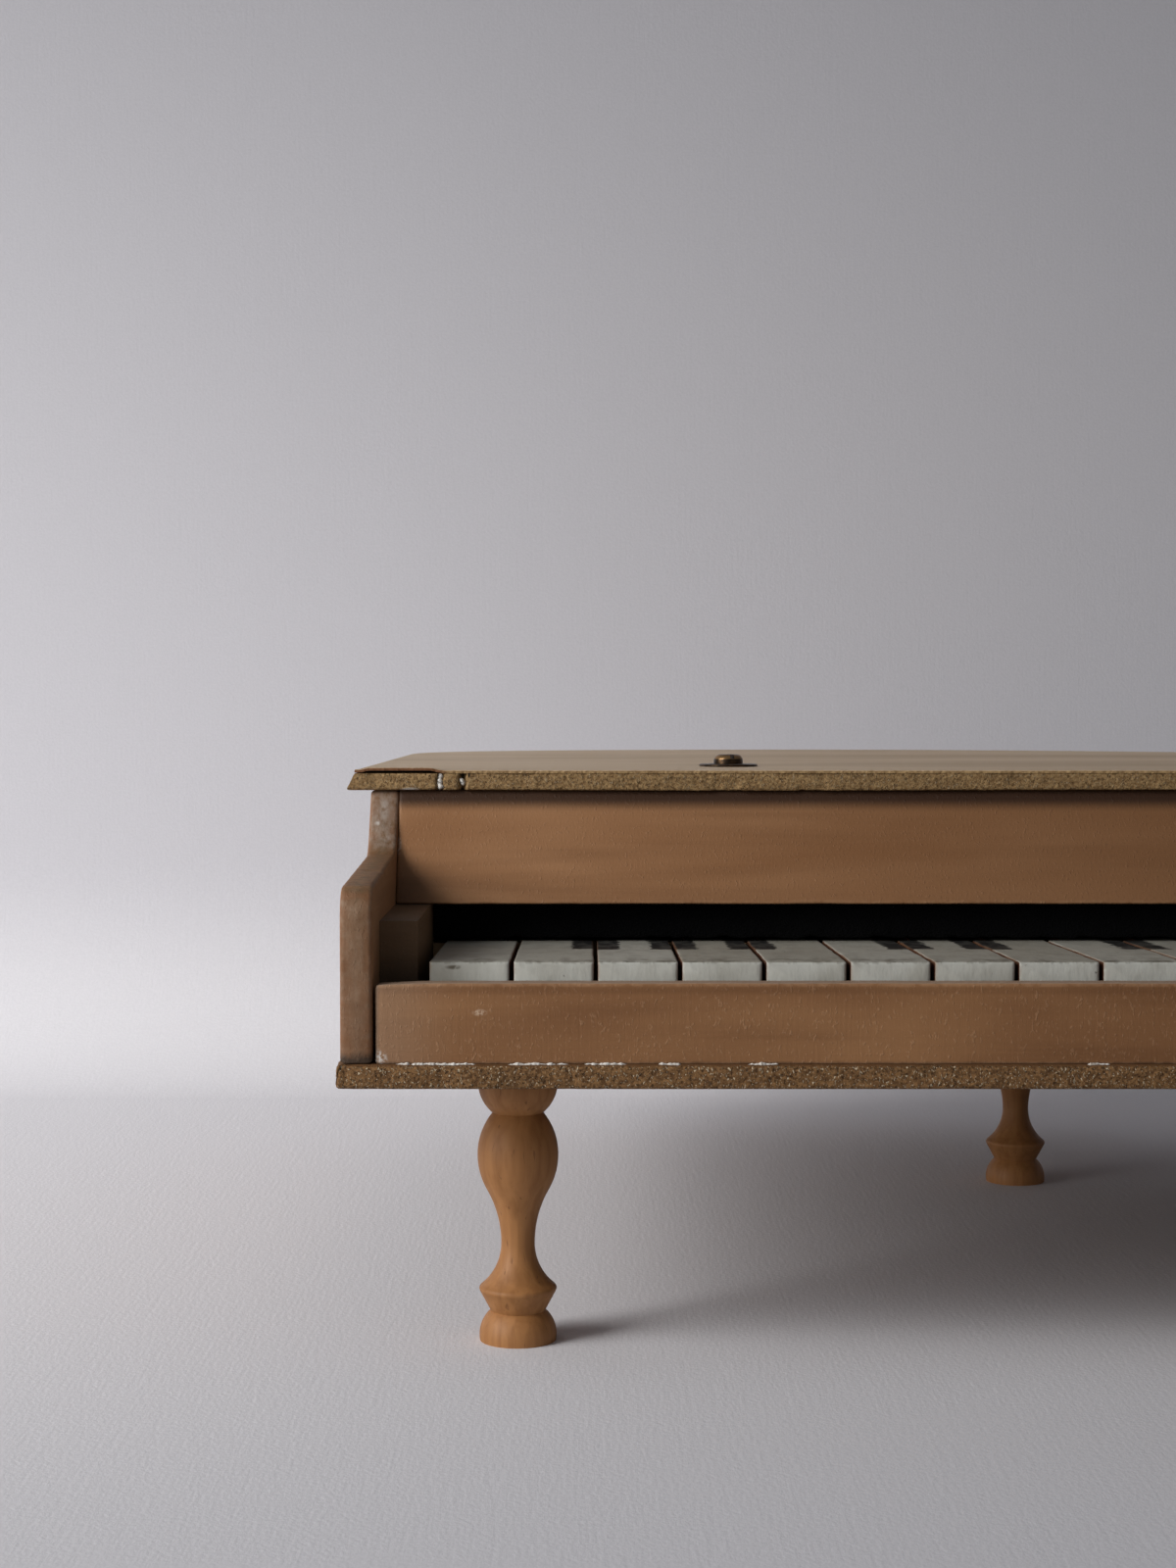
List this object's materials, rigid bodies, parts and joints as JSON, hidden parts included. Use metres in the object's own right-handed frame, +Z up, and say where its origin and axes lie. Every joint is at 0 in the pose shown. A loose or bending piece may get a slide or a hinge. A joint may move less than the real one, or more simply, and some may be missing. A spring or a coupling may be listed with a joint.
{
  "type": "toy piano",
  "caption": "Small wooden toy grand piano on turned legs, with pivoted keys that carry pegs up against tuned steel bars under a screwed-down lid.",
  "frame": {"origin": "on the floor, under the middle of the whole piano's box", "axes": "+X along the keyboard towards the treble, +Y from the keys to the tail, +Z up"},
  "size_m": [0.4012, 0.37, 0.1396],
  "materials": {
    "case_wood": "satin",
    "board": "matte",
    "face_ply": "matte",
    "leg_wood": "satin",
    "inner_wood": "matte",
    "hammer_wood": "satin",
    "key_paint": "matte",
    "black_felt": "matte",
    "rail_felt": "matte",
    "steel": "satin",
    "brass": "satin"
  },
  "bodies": {
    "case": {"base_board": "board", "left_side": "case_wood", "right_side": "case_wood", "bentside": "case_wood", "lid": "board", "lid_face": "face_ply", "lid_rail": "inner_wood", "fallboard": "case_wood", "dust_felt": "black_felt", "key_slip": "case_wood", "left_key_block": "case_wood", "right_key_block": "case_wood", "front_left_leg": "leg_wood", "front_right_leg": "leg_wood", "rear_leg": "leg_wood", "pivot_rail": "inner_wood", "pivot_rod": "steel", "lid_screws": "brass", "key_rails": "inner_wood", "key_felts": "rail_felt", "tone_bars": "steel", "bar_pins": "steel", "bar_frame": "inner_wood", "bar_felts": "rail_felt"},
    "note_01": {"key_01": "key_paint", "hammer_01": "hammer_wood"},
    "note_02": {"key_02": "key_paint", "hammer_02": "hammer_wood"},
    "note_03": {"key_03": "key_paint", "hammer_03": "hammer_wood"},
    "note_04": {"key_04": "key_paint", "hammer_04": "hammer_wood"},
    "note_05": {"key_05": "key_paint", "hammer_05": "hammer_wood"},
    "note_06": {"key_06": "key_paint", "hammer_06": "hammer_wood"},
    "note_07": {"key_07": "key_paint", "hammer_07": "hammer_wood"},
    "note_08": {"key_08": "key_paint", "hammer_08": "hammer_wood"},
    "note_09": {"key_09": "key_paint", "hammer_09": "hammer_wood"},
    "note_10": {"key_10": "key_paint", "hammer_10": "hammer_wood"},
    "note_11": {"key_11": "key_paint", "hammer_11": "hammer_wood"},
    "note_12": {"key_12": "key_paint", "hammer_12": "hammer_wood"},
    "note_13": {"key_13": "key_paint", "hammer_13": "hammer_wood"},
    "note_14": {"key_14": "key_paint", "hammer_14": "hammer_wood"},
    "note_15": {"key_15": "key_paint", "hammer_15": "hammer_wood"},
    "note_16": {"key_16": "key_paint", "hammer_16": "hammer_wood"},
    "note_17": {"key_17": "key_paint", "hammer_17": "hammer_wood"},
    "note_18": {"key_18": "key_paint", "hammer_18": "hammer_wood"}
  },
  "joints": [
    {"name": "key_01_press", "type": "hinge", "parent": "case", "child": "note_01", "pos_m": [-0.1649, -0.09937, 0.087], "axis": [1, 0, 0], "range_deg": [0, 3.5], "stiffness_Nm_per_rad": 0.05, "springref_deg": -8.59},
    {"name": "key_02_press", "type": "hinge", "parent": "case", "child": "note_02", "pos_m": [-0.1455, -0.09937, 0.087], "axis": [1, 0, 0], "range_deg": [0, 3.5], "stiffness_Nm_per_rad": 0.05, "springref_deg": -8.59},
    {"name": "key_03_press", "type": "hinge", "parent": "case", "child": "note_03", "pos_m": [-0.1261, -0.09937, 0.087], "axis": [1, 0, 0], "range_deg": [0, 3.5], "stiffness_Nm_per_rad": 0.05, "springref_deg": -8.59},
    {"name": "key_04_press", "type": "hinge", "parent": "case", "child": "note_04", "pos_m": [-0.1067, -0.09937, 0.087], "axis": [1, 0, 0], "range_deg": [0, 3.5], "stiffness_Nm_per_rad": 0.05, "springref_deg": -8.59},
    {"name": "key_05_press", "type": "hinge", "parent": "case", "child": "note_05", "pos_m": [-0.0873, -0.09937, 0.087], "axis": [1, 0, 0], "range_deg": [0, 3.5], "stiffness_Nm_per_rad": 0.05, "springref_deg": -8.59},
    {"name": "key_06_press", "type": "hinge", "parent": "case", "child": "note_06", "pos_m": [-0.0679, -0.09937, 0.087], "axis": [1, 0, 0], "range_deg": [0, 3.5], "stiffness_Nm_per_rad": 0.05, "springref_deg": -8.59},
    {"name": "key_07_press", "type": "hinge", "parent": "case", "child": "note_07", "pos_m": [-0.0485, -0.09937, 0.087], "axis": [1, 0, 0], "range_deg": [0, 3.5], "stiffness_Nm_per_rad": 0.05, "springref_deg": -8.59},
    {"name": "key_08_press", "type": "hinge", "parent": "case", "child": "note_08", "pos_m": [-0.0291, -0.09937, 0.087], "axis": [1, 0, 0], "range_deg": [0, 3.5], "stiffness_Nm_per_rad": 0.05, "springref_deg": -8.59},
    {"name": "key_09_press", "type": "hinge", "parent": "case", "child": "note_09", "pos_m": [-0.0097, -0.09937, 0.087], "axis": [1, 0, 0], "range_deg": [0, 3.5], "stiffness_Nm_per_rad": 0.05, "springref_deg": -8.59},
    {"name": "key_10_press", "type": "hinge", "parent": "case", "child": "note_10", "pos_m": [0.0097, -0.09937, 0.087], "axis": [1, 0, 0], "range_deg": [0, 3.5], "stiffness_Nm_per_rad": 0.05, "springref_deg": -8.59},
    {"name": "key_11_press", "type": "hinge", "parent": "case", "child": "note_11", "pos_m": [0.0291, -0.09937, 0.087], "axis": [1, 0, 0], "range_deg": [0, 3.5], "stiffness_Nm_per_rad": 0.05, "springref_deg": -8.59},
    {"name": "key_12_press", "type": "hinge", "parent": "case", "child": "note_12", "pos_m": [0.0485, -0.09937, 0.087], "axis": [1, 0, 0], "range_deg": [0, 3.5], "stiffness_Nm_per_rad": 0.05, "springref_deg": -8.59},
    {"name": "key_13_press", "type": "hinge", "parent": "case", "child": "note_13", "pos_m": [0.0679, -0.09937, 0.087], "axis": [1, 0, 0], "range_deg": [0, 3.5], "stiffness_Nm_per_rad": 0.05, "springref_deg": -8.59},
    {"name": "key_14_press", "type": "hinge", "parent": "case", "child": "note_14", "pos_m": [0.0873, -0.09937, 0.087], "axis": [1, 0, 0], "range_deg": [0, 3.5], "stiffness_Nm_per_rad": 0.05, "springref_deg": -8.59},
    {"name": "key_15_press", "type": "hinge", "parent": "case", "child": "note_15", "pos_m": [0.1067, -0.09937, 0.087], "axis": [1, 0, 0], "range_deg": [0, 3.5], "stiffness_Nm_per_rad": 0.05, "springref_deg": -8.59},
    {"name": "key_16_press", "type": "hinge", "parent": "case", "child": "note_16", "pos_m": [0.1261, -0.09937, 0.087], "axis": [1, 0, 0], "range_deg": [0, 3.5], "stiffness_Nm_per_rad": 0.05, "springref_deg": -8.59},
    {"name": "key_17_press", "type": "hinge", "parent": "case", "child": "note_17", "pos_m": [0.1455, -0.09937, 0.087], "axis": [1, 0, 0], "range_deg": [0, 3.5], "stiffness_Nm_per_rad": 0.05, "springref_deg": -8.59},
    {"name": "key_18_press", "type": "hinge", "parent": "case", "child": "note_18", "pos_m": [0.1649, -0.09937, 0.087], "axis": [1, 0, 0], "range_deg": [0, 3.5], "stiffness_Nm_per_rad": 0.05, "springref_deg": -8.59}
  ]
}
